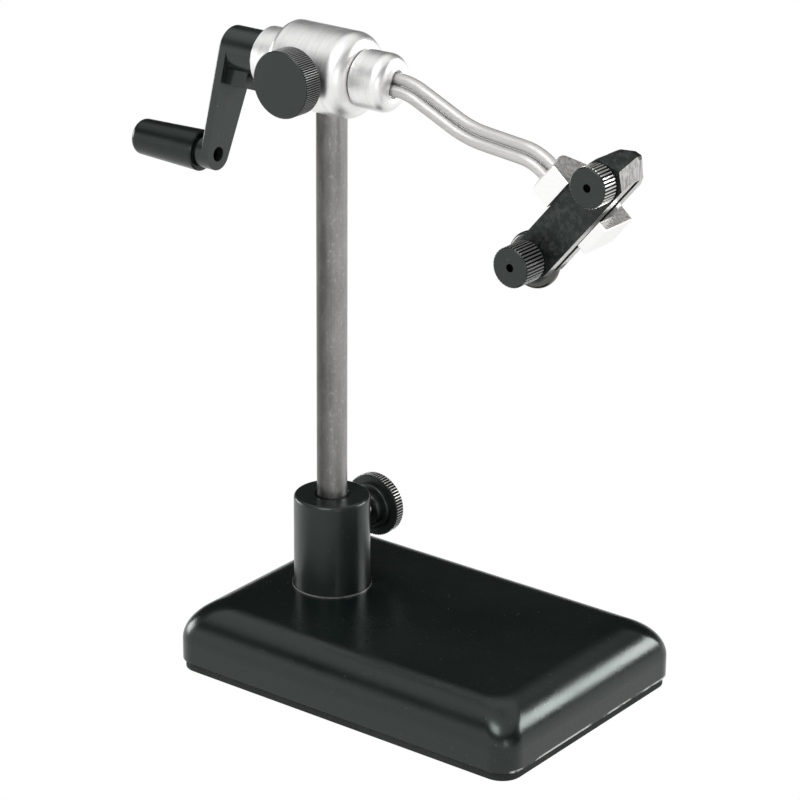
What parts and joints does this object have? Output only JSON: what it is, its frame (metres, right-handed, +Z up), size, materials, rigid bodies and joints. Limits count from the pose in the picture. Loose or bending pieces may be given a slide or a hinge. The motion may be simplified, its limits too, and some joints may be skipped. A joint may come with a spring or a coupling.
{
  "type": "fly tying vise",
  "caption": "Rotary fly tying vise on a heavy pedestal base, with a round post, a crank-turned head, bent rods and screw-closed angled jaws for hooks.",
  "frame": {"origin": "on the bench, under the middle of the base", "axes": "+X along the base from the crank to the jaws, +Y across it from the near side, +Z up"},
  "size_m": [0.1757, 0.0892, 0.2008],
  "materials": {
    "base_paint": "satin black",
    "rubber": "plain rubber sheet",
    "collar_paint": "gloss black",
    "post_steel": "dark drawn steel",
    "black_anodised": "black anodised, knurled rim",
    "turned_aluminium": "fine turned and brushed",
    "rod_steel": "satin stainless",
    "jaw_steel": "blackened",
    "crank_plastic": "moulded black",
    "grip_plastic": "smooth black",
    "screw_steel": "plain steel",
    "brass": "plain bearing metal",
    "nylon": "plain nylon"
  },
  "bodies": {
    "stand": {"base_casting": "base_paint", "base_pad": "rubber", "collar": "collar_paint", "collar_screw": "screw_steel"},
    "post": {"post": "post_steel"},
    "head": {"head_housing": "turned_aluminium", "front_bushing": "brass", "rear_bushing": "brass", "post_screw": "screw_steel"},
    "rotor": {"spindle": "screw_steel", "hub": "turned_aluminium", "rear_collar": "turned_aluminium", "rotor_set_screws": "screw_steel", "near_rod": "rod_steel", "far_rod": "rod_steel", "rod_set_screws": "screw_steel", "crank_arm": "crank_plastic", "crank_screw": "screw_steel", "grip_washer": "screw_steel", "grip_pin": "screw_steel", "jaw_block": "turned_aluminium", "far_jaw": "jaw_steel", "front_stud": "screw_steel", "block_screw": "screw_steel"},
    "grip": {"grip": "grip_plastic"},
    "near_jaw": {"near_jaw": "jaw_steel"},
    "rear_knob": {"rear_knob": "black_anodised", "rear_screw": "screw_steel"},
    "front_washer": {"front_washer": "screw_steel"},
    "front_knob": {"front_knob": "black_anodised"},
    "tension_plug": {"tension_plug": "nylon"},
    "tension_knob": {"tension_knob": "black_anodised", "tension_screw": "screw_steel"},
    "clamp_plug": {"clamp_plug": "brass"},
    "clamp_knob": {"clamp_knob": "black_anodised", "clamp_screw": "screw_steel"}
  },
  "joints": [
    {"name": "post_height", "type": "slide", "parent": "stand", "child": "post", "axis": [0, 0, 1], "range_m": [0, 0.016]},
    {"name": "head_swivel", "type": "hinge", "parent": "post", "child": "head", "pos_m": [-0.03626, 0, 0.18775], "axis": [0, 0, 1], "continuous": true},
    {"name": "rotor_spin", "type": "hinge", "parent": "head", "child": "rotor", "pos_m": [-0.03626, 0, 0.18775], "axis": [1, 0, 0], "continuous": true},
    {"name": "grip_spin", "type": "hinge", "parent": "rotor", "child": "grip", "pos_m": [-0.07433, -0.01162, 0.15794], "axis": [1, 0, 0], "continuous": true},
    {"name": "rear_knob_turn", "type": "hinge", "parent": "rotor", "child": "rear_knob", "pos_m": [0.04062, -0.0048, 0.14675], "axis": [0, -1, 0], "range_deg": [0, 678]},
    {"name": "jaw_tilt", "type": "hinge", "parent": "rotor", "child": "near_jaw", "pos_m": [0.0637, -0.0048, 0.17425], "axis": [0.766, 0, -0.6428], "range_deg": [0, 2.4]},
    {"name": "front_washer_slide", "type": "slide", "parent": "rotor", "child": "front_washer", "axis": [0, -1, 0], "range_m": [0, 0.0014]},
    {"name": "front_knob_turn", "type": "hinge", "parent": "front_washer", "child": "front_knob", "pos_m": [0.0637, -0.006, 0.17425], "axis": [0, -1, 0], "range_deg": [0, 721]},
    {"name": "tension_plug_slide", "type": "slide", "parent": "head", "child": "tension_plug", "axis": [0, -1, 0], "range_m": [0, 0.0016]},
    {"name": "tension_knob_turn", "type": "hinge", "parent": "tension_plug", "child": "tension_knob", "pos_m": [-0.03836, -0.015, 0.18775], "axis": [0, -1, 0], "range_deg": [0, 715]},
    {"name": "clamp_plug_slide", "type": "slide", "parent": "stand", "child": "clamp_plug", "axis": [0, 1, 0], "range_m": [0, 0.0015]},
    {"name": "clamp_knob_turn", "type": "hinge", "parent": "clamp_plug", "child": "clamp_knob", "pos_m": [-0.03626, 0.02, 0.0404], "axis": [0, 1, 0], "range_deg": [0, 535]}
  ],
  "couplings": [
    {"joint": "rear_knob_turn", "follows": "jaw_tilt", "ratio": 281.96},
    {"joint": "front_knob_turn", "follows": "front_washer_slide", "rad_per_m": 8976},
    {"joint": "tension_plug_slide", "follows": "tension_knob_turn", "m_per_rad": 0.00012732},
    {"joint": "clamp_plug_slide", "follows": "clamp_knob_turn", "m_per_rad": 0.00015915}
  ]
}
